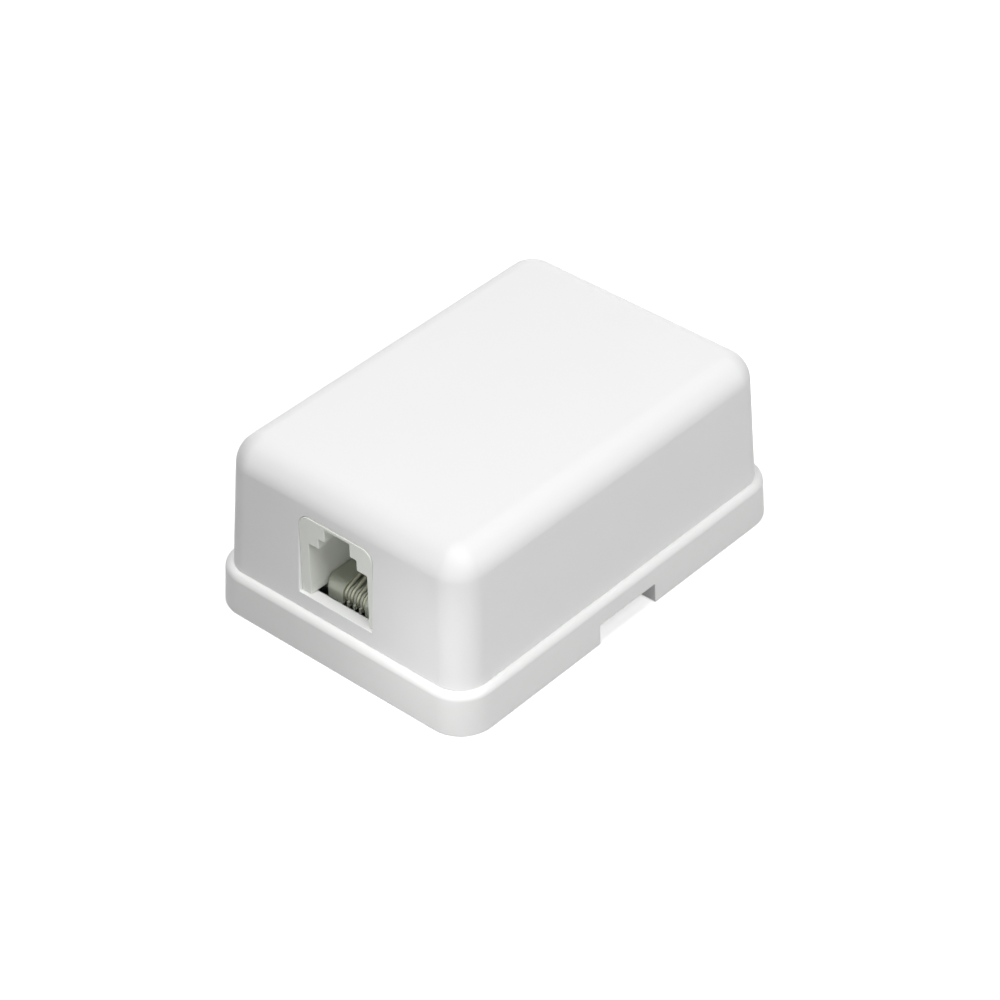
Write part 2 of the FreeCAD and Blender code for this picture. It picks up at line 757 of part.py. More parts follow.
def make_spade_lug(number):
    """A forked tag under the washer, with its crimped barrel towards the box's middle."""
    body = new_body(f"spade_lug_{number + 1}")
    disc = new_sketch(body, "XY_Plane")
    draw_circle(disc, "0", "0", "lug_width / 2")
    pad(body, disc, "lug_thick")
    tines = new_sketch(body, "XY_Plane")
    draw_box(tines, "-lug_width / 2", "0", "-lug_width / 2", "lug_width / 2")
    pad(body, tines, "lug_thick")
    neck = new_sketch(body, "XY_Plane")
    draw_box(neck, "0", "barrel_start + sink", "-lug_neck / 2", "lug_neck / 2")
    pad(body, neck, "lug_thick")
    barrel = new_sketch(body, "YZ_Plane", "barrel_start")
    draw_circle(barrel, "0", "barrel_size / 2", "barrel_size / 2")
    pad(body, barrel, "barrel_length")
    eye = new_sketch(body, "XY_Plane", "lug_thick")
    draw_circle(eye, "0", "0", "lug_slot / 2")
    pocket(body, eye, "lug_thick")
    slot = new_sketch(body, "XY_Plane", "lug_thick")
    draw_box(slot, "-lug_width", "0", "-lug_slot / 2", "lug_slot / 2")
    pocket(body, slot, "lug_thick")
    bore = new_sketch(body, "YZ_Plane", "barrel_end")
    draw_circle(bore, "0", "barrel_size / 2", "lead_bore")
    pocket(body, bore, "lead_crimp + lead_end_gap")
    at_terminal(body, number, "lug_level", turned=True)


# ---------------------------------------------------------------- leads

# Each lead's bore in the carrier, its terminal, and the points that it passes in between: how far
# across towards the terminals' row, how far along from the carrier's rear to the terminal, and how
# far up from the sill to the cover's ceiling.
LEADS = {
    "lead_red": (0, 0, [(-0.31, 0.20, 0.06), (-0.34, 0.50, 0.40), (-0.26, 0.81, 0.52), (-0.19, 0.99, 0.28)]),
    "lead_green": (1, 1, [(-0.12, 0.17, 0.07), (-0.10, 0.39, 0.35), (-0.12, 0.65, 0.69), (-0.13, 0.90, 0.65),
                          (-0.18, 1.0, 0.29)]),
    "lead_yellow": (2, 2, [(0.07, 0.16, 0.08), (0.08, 0.39, 0.41), (0.05, 0.64, 0.72), (0.09, 0.89, 0.61),
                           (0.17, 1.0, 0.27)]),
    "lead_black": (3, 3, [(0.30, 0.21, 0.05), (0.33, 0.49, 0.36), (0.24, 0.79, 0.55), (0.17, 0.98, 0.30)]),
}
ARC_SHARE = 0.45


def rounded_route(points):
    """Straight runs joined by tangent arcs, each arc as large as its two runs allow."""
    edges = []
    here = points[0]
    for before, corner, after in zip(points, points[1:], points[2:]):
        back = before - corner
        ahead = after - corner
        turn = math.pi - back.getAngle(ahead)
        reach = ARC_SHARE * min(back.Length, ahead.Length)
        radius = reach / math.tan(turn / 2)
        middle = (back.normalize() + ahead.normalize()).normalize()
        start = corner + back * reach
        end = corner + ahead * reach
        top = corner + middle * (radius / math.cos(turn / 2) - radius)
        edges.append(Part.LineSegment(here, start).toShape())
        edges.append(Part.Arc(start, top, end).toShape())
        here = end
    edges.append(Part.LineSegment(here, points[-1]).toShape())
    return Part.Wire(edges)


def make_lead(label):
    """An insulated lead from its bore in the carrier to the barrel of its lug."""
    bore, terminal, passes = LEADS[label]
    x, y = (value(place) for place in TERMINALS[terminal])
    inward = -math.copysign(1, x)
    mouth = x + inward * value("barrel_end")
    level = value("lug_level + barrel_size / 2")
    exit_x, rear, sill = value(lead_place(bore)), value("jack_rear"), value("window_sill")
    offset, ceiling = value("post_offset"), value("box_height - cover_wall")
    points = [
        FreeCAD.Vector(exit_x, rear - value("lead_seat"), sill),
        FreeCAD.Vector(exit_x, rear + value("lead_straight"), sill),
        *[FreeCAD.Vector(across * offset, rear + along * (y - rear), sill + up * (ceiling - sill))
          for across, along, up in passes],
        FreeCAD.Vector(mouth + inward * value("lead_run_in"), y, level),
        FreeCAD.Vector(mouth - inward * value("lead_crimp"), y, level),
    ]
    route = rounded_route(points)
    profile = Part.Wire([Part.Circle(points[0], points[1] - points[0], value("lead_size / 2")).toShape()])
    tube = route.makePipeShell([profile], True, False)
    lead = document.addObject("Part::Feature", label)
    lead.Label = label
    lead.Shape = tube
    section = math.pi * value("lead_size / 2") ** 2
    print(f"{label}: length {route.Length:.1f} mm, volume {tube.Volume:.2f}, "
          f"section by length {section * route.Length:.2f}")


# ---------------------------------------------------------------- build and write

make_base()
make_cover()
make_jack_housing()
make_contact_carrier()
for place in range(4):
    make_contact_wire(place)
    make_terminal_insert(place)
    make_terminal_washer(place)
    make_terminal_screw(place)
    make_spade_lug(place)
for name in LEADS:
    make_lead(name)
document.recompute()

failed = [item.Name for item in document.Objects if {"Invalid", "Error"} & set(item.State)]
if failed:
    raise RuntimeError("failed objects: " + ", ".join(failed))
pieces = [item for item in document.Objects
          if item.TypeId == "PartDesign::Body" or item.TypeId == "Part::Feature"]
for piece in pieces:
    if piece.Shape.isNull() or not piece.Shape.isValid():
        raise RuntimeError(f"{piece.Label} has no valid shape")

os.makedirs("parts", exist_ok=True)
for piece in pieces:
    piece.Shape.exportStep(f"parts/{piece.Label}.step")
    box = piece.Shape.BoundBox
    print(f"{piece.Label:20s} solids {len(piece.Shape.Solids)} volume {piece.Shape.Volume:9.2f} "
          f"x {box.XMin:7.2f} {box.XMax:7.2f} y {box.YMin:7.2f} {box.YMax:7.2f} "
          f"z {box.ZMin:6.2f} {box.ZMax:6.2f}")
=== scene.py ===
import math

import bpy
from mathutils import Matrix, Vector


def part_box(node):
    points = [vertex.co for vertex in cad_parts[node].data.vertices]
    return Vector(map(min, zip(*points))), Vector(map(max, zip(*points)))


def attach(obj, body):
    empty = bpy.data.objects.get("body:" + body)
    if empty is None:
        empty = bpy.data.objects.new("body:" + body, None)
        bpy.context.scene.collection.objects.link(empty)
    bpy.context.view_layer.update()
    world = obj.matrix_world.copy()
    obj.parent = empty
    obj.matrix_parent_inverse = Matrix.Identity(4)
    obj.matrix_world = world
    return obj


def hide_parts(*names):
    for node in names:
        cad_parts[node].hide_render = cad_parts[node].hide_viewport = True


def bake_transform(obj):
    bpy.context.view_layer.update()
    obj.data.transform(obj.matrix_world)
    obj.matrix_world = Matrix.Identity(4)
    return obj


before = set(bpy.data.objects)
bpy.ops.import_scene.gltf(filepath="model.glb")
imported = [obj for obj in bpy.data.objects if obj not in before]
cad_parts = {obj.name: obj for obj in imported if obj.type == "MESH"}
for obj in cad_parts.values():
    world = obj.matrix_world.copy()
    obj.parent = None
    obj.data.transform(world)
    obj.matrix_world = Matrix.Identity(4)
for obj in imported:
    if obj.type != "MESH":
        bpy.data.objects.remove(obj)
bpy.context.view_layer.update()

# A surface mount jack box. Pieces are modelled in millimetres, with one Blender unit to the
# millimetre, and seat() brings each down to metres once it is finished.

MM = 0.001          # a millimetre, in metres
CLOSE = 0.003       # how near two points count as one place, in millimetres


# ---------------------------------------------------------------- sizes, in millimetres and radians

def box_of(node):
    """The two corners of a CAD node."""
    return [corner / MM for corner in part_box(node)]


BASE_HIGH = box_of("base")[1]
COVER_LOW, COVER_HIGH = box_of("cover")
HOUSING_LOW, HOUSING_HIGH = box_of("jack_housing")
CARRIER_LOW, CARRIER_HIGH = box_of("contact_carrier")

BOX_X, BOX_Y, BOX_TOP = BASE_HIGH.x, BASE_HIGH.y, COVER_HIGH.z
OVERRUN = 1.0       # how far a cut starts beyond the surface
SINK = 0.4          # how far an addition reaches into what carries it

RIM_TOP = COVER_LOW.z
RIM_CORNER = 4.9
RIM_DRAFT = math.radians(2.5)
RIM_ROUND = 0.9
RIM_SKIRT = 1.7
RIM_INSIDE = 1.5
FLOOR_TOP = 2.0
LIP_TOP = BASE_HIGH.z
LIP_GAP = 0.25
LIP_THICK = 1.3
WELL_CORNER = 1.2
CORE_START = 8.0
CORE_END = 3.2
CORE_RIB = 1.6
NOTCH_HALF = 5.375
NOTCH_TOP = 2.9
NOTCH_RUN = 6.4
MOUNT_Y = 17.0
MOUNT_HOLE = 2.1
BOSS_RADIUS = 4.2
BOSS_TOP = 3.0
BASE_EDGE = 0.15    # the small rounding on a moulding's sharp edges, here and below

FOOT_X, FOOT_Y = COVER_HIGH.x, COVER_HIGH.y
COVER_WALL = 2.0
COVER_DRAFT = math.radians(3.0)
COVER_LEAN = math.tan(COVER_DRAFT)
COVER_CORNER = 4.1
COVER_ROUND = 4.0
INNER_X, INNER_Y = FOOT_X - COVER_WALL, FOOT_Y - COVER_WALL
LIP_X, LIP_Y = INNER_X - LIP_GAP, INNER_Y - LIP_GAP
LIP_CORNER = COVER_CORNER - COVER_WALL - LIP_GAP
WELL_X, WELL_Y = LIP_X - LIP_THICK, LIP_Y - LIP_THICK
BEAD_Y = 14.0
BEAD_HALF_LENGTH = 3.5
BEAD_Z = RIM_TOP + 1.4
BEAD_FACE = INNER_X - (BEAD_Z - RIM_TOP) * COVER_LEAN
BEAD_PROUD = 0.2
BEAD_FOOT = 0.8
BEAD_CREST = 0.1
GROOVE_DEPTH = 0.3
GROOVE_FACE = LIP_X - (BEAD_Z - RIM_TOP) * COVER_LEAN - GROOVE_DEPTH
GROOVE_HALF = 0.6
GROOVE_SLACK = 0.3
EJECTOR_X, EJECTOR_Y = 11.0, 17.0
EJECTOR_RADIUS = 2.2
EJECTOR_DEPTH = 0.08
COVER_EDGE = 0.13

WINDOW_CENTRE = -0.52
WINDOW_FIT = 0.1
WINDOW_TOP = HOUSING_HIGH.z + WINDOW_FIT
SEAM = 0.03         # the line that shows between the window and the socket's face
SILL = 8.4

FACE, JACK_REAR = HOUSING_LOW.y, HOUSING_HIGH.y
JACK_BOTTOM, JACK_TOP = HOUSING_LOW.z, HOUSING_HIGH.z
JACK_HALF = 6.1
JACK_CORNER = 1.7
WALL_INSIDE = -INNER_Y
FLANGE_GAP = 0.02
FLANGE_THICK = 1.6
FLANGE_REACH = 1.6
FLANGE_FRONT = WALL_INSIDE + (WINDOW_TOP - RIM_TOP) * COVER_LEAN + FLANGE_GAP
FLANGE_REAR = FLANGE_FRONT + FLANGE_THICK
FLANGE_HALF = JACK_HALF + FLANGE_REACH
FLANGE_TOP = JACK_TOP - 1.0
SILL_EDGE = WALL_INSIDE + (SILL - RIM_TOP) * COVER_LEAN
SILL_GAP = 0.06
SILL_REAR = SILL_EDGE + SILL_GAP
SILL_CHAMFER = 0.35
CLIP_GAP = 0.1
CLIP_THICK = 1.2
CLIP_INNER = FLANGE_HALF + CLIP_GAP
CLIP_OUTER = CLIP_INNER + CLIP_THICK
CLIP_BITE = 0.9
CLIP_LAND = 0.5
CLIP_NOSE = 1.6
CLIP_SLACK = 0.05
CLIP_BOTTOM = SILL + 1.0
CLIP_TOP = CLIP_BOTTOM + 8.5
GATE_HALF = CLIP_OUTER + 0.6

SOCKET_CENTRE = WINDOW_CENTRE + 0.32
SOCKET_HALF = 4.86
SOCKET_REAR = JACK_REAR - 1.0
LEVER_TOP = JACK_TOP - 0.45
SOCKET_TOP = LEVER_TOP - 3.5
LATCH_TOP = SOCKET_TOP + 1.55
LATCH_HALF = 3.165
LATCH_REAR = FACE + 10.5
LEVER_HALF = 2.08
LEVER_REAR = FACE + 2.4
CHAMBER_TOP = LEVER_TOP - 0.35
SOCKET_EDGE = 0.12

NOSE_Y = FACE + 3.8
NOSE_RADIUS = 1.38
NOSE_END = 0.45
RIB_RADIUS = 1.15
TOE_DROP = 0.65
GROOVE_RADIUS = 0.78
RIB_STOP = 1.0
CARRIER_GAP = 0.06
CARRIER_HALF = SOCKET_HALF - CARRIER_GAP
COMB_GAP = 0.1
COMB_THICK = 2.8
COMB_BACK = SOCKET_REAR - COMB_GAP
COMB_FRONT = COMB_BACK - COMB_THICK
COMB_WALL = 0.8
COMB_TOP = CARRIER_HIGH.z
COMB_SLOT = 0.66
REAR_TOP = SILL + NOSE_RADIUS + 0.3
NUB_Y = FACE + 8.5
NUB_RADIUS = 0.85
NUB_REACH = 0.7
NUB_GAP = 0.05
COMB_EDGE = 0.05

WIRE_RADIUS = 0.23
WIRE_BEND = 1.05
WIRE_TAIL = 2.6
WIRE_SLACK = 0.5
WIRE_EDGE = 0.04
WIRE_PITCH = 1.02
WIRE_SLOPE = math.radians(24)
WIRE_SEAT = 0.63    # how far the arm reaches into the comb
WIRE_ARM = (COMB_FRONT + WIRE_SEAT - NOSE_Y) / math.cos(WIRE_SLOPE) + WIRE_BEND * math.tan(WIRE_SLOPE)

POST_TOP = FLOOR_TOP + 4.4
POST_RADIUS = 3.5
POST_DRAFT = math.radians(1)
POST_X = 11.5
POST_NEAR, POST_FAR = WELL_Y - 15.7, WELL_Y - 5.2
TERMINALS = [(-POST_X, POST_NEAR), (-POST_X, POST_FAR), (POST_X, POST_FAR), (POST_X, POST_NEAR)]
INSERT_RADIUS = 2.2
INSERT_LENGTH = 3.8
INSERT_FLANGE = 2.8
INSERT_SLACK = 0.1
INSERT_EDGE = 0.04
KNURL_STEPS = 36    # every other one lies lower
KNURL_ROOT = 0.96   # how far out the lower steps lie, as a share of the others
LUG_LEVEL = POST_TOP + 0.5
WASHER_LEVEL = LUG_LEVEL + 0.5
HEAD_LEVEL = WASHER_LEVEL + 0.5
HEAD_RADIUS = 3.0
HEAD_HEIGHT = 1.8
HEAD_ROUND = 0.6
SCREW_RADIUS = 1.4
SCREW_BORE = 1.45
SCREW_TIP = POST_TOP - INSERT_LENGTH + 0.2
SCREW_EDGE = 0.06
THREAD_PITCH = 0.7
THREAD_DEPTH = 0.25
THREAD_SINK = 0.05
THREAD_FLANK = 0.2
DRIVER_SLOT = 0.9
WASHER_RADIUS = 3.2
WASHER_HOLE = 1.6
WASHER_EDGE = 0.08
LUG_RADIUS = 3.0
LUG_SLOT = 1.6
LUG_NECK = 1.2
SHEET_THICK = 0.5
BARREL_START = WASHER_RADIUS + 0.2
BARREL_END = BARREL_START + 3.0
BARREL_RADIUS = 1.1
CRIMPS = (0.9, 2.0)
CRIMP_RADIUS = 0.55
CRIMP_RISE = 0.32   # how far above the barrel the middle of a crimp's cut lies
CRIMP_HALF = 2.0
LUG_EDGE = 0.06

LEAD_RADIUS = 0.65
LEAD_BORE = 0.7
LEAD_PITCH = 2.2
LEAD_SEAT = 3.2
LEAD_CRIMP = 2.4
LEAD_STRAIGHT = 1.6
LEAD_RUN_IN = 2.9
LEAD_SLACK = 0.2


# ---------------------------------------------------------------- modelling by hand

def pick(obj):
    """Make one object the active and only selected one."""
    bpy.ops.object.select_all(action="DESELECT")
    obj.select_set(True)
    bpy.context.view_layer.objects.active = obj


def settle(obj, name=None):
    """Put a piece's place, turn and scale into its mesh."""
    pick(obj)
    bpy.ops.object.transform_apply(location=True, rotation=True, scale=True)
    if name:
        obj.name = name
    return obj


def block(name, one, other):
    """A rectangular block between two opposite corners."""
    middle = (Vector(one) + Vector(other)) / 2
    bpy.ops.mesh.primitive_cube_add(size=1, location=middle)
    obj = bpy.context.object
    obj.scale = [abs(a - b) for a, b in zip(one, other)]
    return settle(obj, name)


def rod(name, start, end, radius, sides=48, end_radius=None):
    """A round bar between two points, which can taper."""
    start, end = Vector(start), Vector(end)
    bpy.ops.mesh.primitive_cone_add(
        vertices=sides, radius1=radius, radius2=radius if end_radius is None else end_radius,
        depth=(end - start).length, location=(start + end) / 2,
        rotation=(end - start).to_track_quat("Z", "Y").to_euler())
    return settle(bpy.context.object, name)


def tapered_block(name, half_x, half_y, bottom, top, draft, level):
    """A block about the Z axis whose sides lean inwards and have their stated size at a level."""
    low, high = ((level - z) * math.tan(draft) for z in (bottom, top))
    obj = block(name, (-half_x - low, -half_y - low, bottom), (half_x + low, half_y + low, top))
    choose(obj, "VERT", lambda p: p.z > bottom + CLOSE)
    bpy.ops.transform.resize(value=((half_x + high) / (half_x + low), (half_y + high) / (half_y + low), 1),
                             center_override=(0, 0, 0))
    close()
    return obj


def edit(obj, kind):
    """Select by vertices, edges or faces, with nothing selected yet."""
    pick(obj)
    bpy.ops.object.mode_set(mode="EDIT")
    bpy.ops.mesh.select_mode(type=kind)
    bpy.ops.mesh.select_all(action="DESELECT")
    bpy.ops.object.mode_set(mode="OBJECT")


def choose(obj, kind, wanted):
    """Open a piece with the vertices, edges or faces selected whose points all satisfy a test."""
    edit(obj, kind)
    mesh = obj.data
    for part in {"VERT": mesh.vertices, "EDGE": mesh.edges, "FACE": mesh.polygons}[kind]:
        points = [part.co] if kind == "VERT" else [mesh.vertices[i].co for i in part.vertices]
        part.select = all(wanted(point) for point in points)
    bpy.ops.object.mode_set(mode="EDIT")


def choose_lines(obj, wanted):
    """Open a piece with the edges selected whose two ends satisfy a test together."""
    edit(obj, "EDGE")
    for line in obj.data.edges:
        first, last = (obj.data.vertices[i].co for i in line.vertices)
        line.select = wanted(first, last)
    bpy.ops.object.mode_set(mode="EDIT")


def close():
    bpy.ops.object.mode_set(mode="OBJECT")


def climbs(first, last):
    """Whether an edge is upright, within a moulding's draft."""
    return abs(first.z - last.z) > 5 * math.hypot(first.x - last.x, first.y - last.y)


def lies_at(level):
    """A test for the edges that lie at a height."""
    return lambda first, last: abs(first.z - level) < CLOSE and abs(last.z - level) < CLOSE


def runs_back_at(level):
    """A test for the edges along Y at a height."""
    return lambda first, last: lies_at(level)(first, last) and abs(first.x - last.x) < CLOSE


def round_off(obj, wanted, width, segments):
    """Bevel the edges that satisfy a test."""
    choose_lines(obj, wanted)
    bpy.ops.mesh.bevel(offset=width, segments=segments, affect="EDGES", clamp_overlap=False)
    close()


def tangent(radius, draft):
    """How far from its edge a fillet starts between a leaning wall and a level face."""
    return radius / math.tan((math.pi / 2 + draft) / 2)


def finish(obj, kind, **settings):
    """Add a modifier and apply it."""
    pick(obj)
    modifier = obj.modifiers.new(kind.title(), kind)
    for name, setting in settings.items():
        setattr(modifier, name, setting)
    bpy.ops.object.modifier_apply(modifier=modifier.name)


def combine(obj, operation, others):
    for other in others:
        finish(obj, "BOOLEAN", operation=operation, solver="EXACT", object=other)
        bpy.data.objects.remove(other)
    return obj


def carve(obj, *cutters):
    """Cut other solids out of a piece."""
    return combine(obj, "DIFFERENCE", cutters)


def weld(obj, *additions):
    """Make other solids one with a piece."""
    return combine(obj, "UNION", additions)


def ease(obj, width, segments=2, angle=40):
    """Join faces that lie flat together, take the sharpness off the edges, and shade flat faces flat."""
    choose(obj, "FACE", lambda p: True)
    bpy.ops.mesh.dissolve_limited(angle_limit=math.radians(0.5))
    close()
    finish(obj, "BEVEL", limit_method="ANGLE", angle_limit=math.radians(angle), width=width,
           segments=segments, use_clamp_overlap=False, miter_outer="MITER_ARC")
    smooth(obj)
    return obj


def press_flat(obj, beyond, axis, level):
    """Bring the points that a bevel pushed out of a flat face back onto it."""
    choose(obj, "VERT", beyond)
    scale, centre = [1, 1, 1], [0, 0, 0]
    scale[axis], centre[axis] = 0, level
    bpy.ops.transform.resize(value=scale, center_override=centre)
    close()
    return obj


def smooth(obj, angle=32):
    pick(obj)
    bpy.ops.object.shade_smooth_by_angle(angle=math.radians(angle))
    finish(obj, "WEIGHTED_NORMAL", mode="FACE_AREA", weight=60, keep_sharp=True)


def to_metres(obj):
    obj.scale = (MM, MM, MM)
    return settle(obj)


def seat(obj, body, slot, *nodes):
    """Bring a piece to metres and let it ride on a body in place of CAD nodes, in its slot's finish."""
    to_metres(obj)
    wear(obj, slot, *nodes)
    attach(obj, body)


def seat_copies(model, body, slot, node, places):
    """Put a copy with its own mesh at each place and turn, numbered from 1, and drop the model."""
    for number, (x, y, turn) in enumerate(places, 1):
        piece = model.copy()
        piece.data = model.data.copy()
        bpy.context.scene.collection.objects.link(piece)
        piece.location = (x, y, 0)
        piece.rotation_euler.z = turn
        settle(piece, f"{model.name}_{number}")
        seat(piece, body.format(number), slot, f"{node}_{number}")
    bpy.data.objects.remove(model)


def wear(obj, slot, *nodes):
    obj.data.materials.clear()
    obj.data.materials.append(FINISHES[slot])
    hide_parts(*nodes)


# ---------------------------------------------------------------- base

def make_base_plate():
    plate = tapered_block("base_plate", BOX_X, BOX_Y, 0, RIM_TOP, RIM_DRAFT, 0)
    round_off(plate, climbs, RIM_CORNER, 12)
    round_off(plate, lies_at(RIM_TOP), tangent(RIM_ROUND, RIM_DRAFT), 6)
    lip = tapered_block("lip", LIP_X, LIP_Y, RIM_TOP - SINK, LIP_TOP, COVER_DRAFT, RIM_TOP)
    round_off(lip, climbs, LIP_CORNER, 6)
    weld(plate, lip)
    well = block("well", (-WELL_X, -WELL_Y, FLOOR_TOP), (WELL_X, WELL_Y, LIP_TOP + OVERRUN))
    round_off(well, climbs, WELL_CORNER, 6)
    gate = block("gate", (WINDOW_CENTRE - GATE_HALF, -LIP_Y - OVERRUN, RIM_TOP),
                 (WINDOW_CENTRE + GATE_HALF, -WELL_Y + OVERRUN, LIP_TOP + OVERRUN))
    notch = block("notch", (WELL_X - NOTCH_RUN, -NOTCH_HALF, -OVERRUN),
                  (BOX_X + OVERRUN, NOTCH_HALF, NOTCH_TOP))
    carve(plate, well, gate, notch, *rim_cores(), *snap_grooves())

    for end in (-1, 1):
        y = end * MOUNT_Y
        weld(plate, rod("boss", (0, y, FLOOR_TOP - SINK), (0, y, BOSS_TOP), BOSS_RADIUS))
        carve(plate, rod("mount_hole", (0, y, -OVERRUN), (0, y, BOSS_TOP + OVERRUN), MOUNT_HOLE))
    for x, y in TERMINALS:
        top = POST_RADIUS - (POST_TOP - FLOOR_TOP) * math.tan(POST_DRAFT)
        weld(plate, rod("post", (x, y, FLOOR_TOP - SINK), (x, y, POST_TOP), POST_RADIUS, end_radius=top))
        carve(plate, rod("insert_bore", (x, y, POST_TOP - INSERT_LENGTH), (x, y, POST_TOP + OVERRUN),
                         INSERT_RADIUS))
    seat(ease(plate, BASE_EDGE), "base", "base_plastic", "base")


def rim_cores():
    """The slots that hollow the rim from below, between its ribs."""
    for side in (-1, 1):
        for end in (-1, 1):
            yield block("core", (side * (WELL_X + RIM_INSIDE), end * CORE_START, -OVERRUN),
                        (side * (BOX_X - RIM_SKIRT), end * (WELL_Y - CORE_END), RIM_TOP - RIM_SKIRT))
            yield block("core", (side * CORE_RIB / 2, end * (WELL_Y + RIM_INSIDE), -OVERRUN),
                        (side * (WELL_X - CORE_END), end * (BOX_Y - RIM_SKIRT), RIM_TOP - RIM_SKIRT))


def snap_grooves():
    """The recesses in the lip's long sides for the cover's beads."""
    reach = BEAD_HALF_LENGTH + GROOVE_SLACK
    for side in (-1, 1):
        for end in (-1, 1):
            yield block("groove", (side * GROOVE_FACE, end * BEAD_Y - reach, BEAD_Z - GROOVE_HALF),
                        (side * (LIP_X + OVERRUN), end * BEAD_Y + reach, BEAD_Z + GROOVE_HALF))


# ---------------------------------------------------------------- cover

def make_cover_shell():
    shell = tapered_block("cover_shell", FOOT_X, FOOT_Y, RIM_TOP, BOX_TOP, COVER_DRAFT, RIM_TOP)
    round_off(shell, climbs, COVER_CORNER, 12)
    round_off(shell, lies_at(BOX_TOP), tangent(COVER_ROUND, COVER_DRAFT), 12)
    choose(shell, "FACE", lambda p: p.z < RIM_TOP + CLOSE)
    bpy.ops.mesh.delete(type="FACE")
    close()
    finish(shell, "SOLIDIFY", thickness=COVER_WALL, offset=-1, use_even_offset=True)
    choose(shell, "VERT", lambda p: p.z < RIM_TOP + SINK)
    bpy.ops.transform.resize(value=(1, 1, 0), center_override=(0, 0, RIM_TOP))
    close()

    half, top = JACK_HALF + SEAM, JACK_TOP + SEAM
    window = block("window", (WINDOW_CENTRE - half, -BOX_Y, SILL),
                   (WINDOW_CENTRE + half, WALL_INSIDE + 2 * OVERRUN, top))
    round_off(window, runs_back_at(top), JACK_CORNER + SEAM, 8)
    chamfer = block("chamfer", (WINDOW_CENTRE - half, SILL_EDGE - 2 * SILL_CHAMFER, SILL - SILL_CHAMFER),
                    (WINDOW_CENTRE + half, SILL_EDGE + OVERRUN, SILL + SILL_CHAMFER))
    choose(chamfer, "VERT", lambda p: p.z < SILL and p.y < SILL_EDGE)
    bpy.ops.transform.translate(value=(0, 2 * SILL_CHAMFER, 0))
    close()
    ceiling = BOX_TOP - COVER_WALL
    marks = [rod("ejector_mark", (x, y, ceiling - OVERRUN), (x, y, ceiling + EJECTOR_DEPTH), EJECTOR_RADIUS)
             for x in (-EJECTOR_X, EJECTOR_X) for y in (-EJECTOR_Y, EJECTOR_Y)]
    carve(shell, window, chamfer, *marks)
    for side in (-1, 1):
        weld(shell, make_clip(side), *[make_bead(side, end) for end in (-1, 1)])
    seat(ease(shell, COVER_EDGE), "cover", "cover_plastic", "cover")


def make_clip(side):
    """A hooked arm behind the end wall, beside the socket's flange."""
    near, far = FLANGE_REAR + CLIP_SLACK, FLANGE_REAR + CLIP_NOSE
    inner = WINDOW_CENTRE + side * CLIP_INNER
    arm = block("clip", (inner, WALL_INSIDE - SINK, CLIP_BOTTOM),
                (WINDOW_CENTRE + side * CLIP_OUTER, far, CLIP_TOP))
    hook = block("hook", (inner - side * CLIP_BITE, near, CLIP_BOTTOM), (inner + side * SINK, far, CLIP_TOP))
    choose(hook, "VERT", lambda p: p.y > near + CLOSE and side * p.x < side * inner)
    bpy.ops.transform.translate(value=(0, CLIP_LAND - CLIP_NOSE, 0))
    close()
    return weld(arm, hook)


def make_bead(side, end):
    """A low ridge inside a long wall, which clicks into the lip's groove."""
    crest = side * (BEAD_FACE - BEAD_PROUD)
    bead = block("bead", (crest, end * BEAD_Y - BEAD_HALF_LENGTH, BEAD_Z - BEAD_FOOT),
                 (side * (BEAD_FACE + SINK), end * BEAD_Y + BEAD_HALF_LENGTH, BEAD_Z + BEAD_FOOT))
    choose(bead, "VERT", lambda p: abs(p.x - crest) < CLOSE)
    bpy.ops.transform.resize(value=(1, 1, BEAD_CREST / BEAD_FOOT),
                             center_override=(crest, end * BEAD_Y, BEAD_Z))
    close()
    return bead


# ---------------------------------------------------------------- socket

def make_socket_shell():
    left, right = WINDOW_CENTRE - JACK_HALF, WINDOW_CENTRE + JACK_HALF
    shell = block("socket_shell", (left, FACE, JACK_BOTTOM), (right, JACK_REAR, JACK_TOP))
    round_off(shell, runs_back_at(JACK_TOP), JACK_CORNER, 8)
    carve(shell, block("step", (left - OVERRUN, FACE - OVERRUN, JACK_BOTTOM - OVERRUN),
                       (right + OVERRUN, SILL_REAR, SILL)))
    weld(shell, block("flange", (WINDOW_CENTRE - FLANGE_HALF, FLANGE_FRONT, JACK_BOTTOM),
                      (WINDOW_CENTRE + FLANGE_HALF, FLANGE_REAR, FLANGE_TOP)))
    for half, top, rear in ((SOCKET_HALF, SOCKET_TOP, SOCKET_REAR),
                            (LATCH_HALF, LATCH_TOP, LATCH_REAR),
                            (LEVER_HALF, LEVER_TOP, LEVER_REAR)):
        carve(shell, socket_cut(half, FACE - OVERRUN, rear, top))
    carve(shell, socket_cut(LATCH_HALF, LEVER_REAR, LATCH_REAR, CHAMBER_TOP),
          socket_cut(SOCKET_HALF, SOCKET_REAR - SINK, JACK_REAR + OVERRUN, REAR_TOP + COMB_GAP),
          block("relief", (WINDOW_CENTRE - 2 * JACK_HALF, SILL_REAR, JACK_BOTTOM - OVERRUN),
                (WINDOW_CENTRE + 2 * JACK_HALF, NOSE_Y, SILL)),
          rod("nub_hole", (left - OVERRUN, NUB_Y, SILL), (right + OVERRUN, NUB_Y, SILL),
              NUB_RADIUS + NUB_GAP))
    seat(ease(shell, SOCKET_EDGE), "cover", "socket_plastic", "jack_housing")


def socket_cut(half, front, rear, top):
    """A block of the socket's mouth, open below."""
    return block("mouth", (SOCKET_CENTRE - half, front, JACK_BOTTOM - OVERRUN),
                 (SOCKET_CENTRE + half, rear, top))


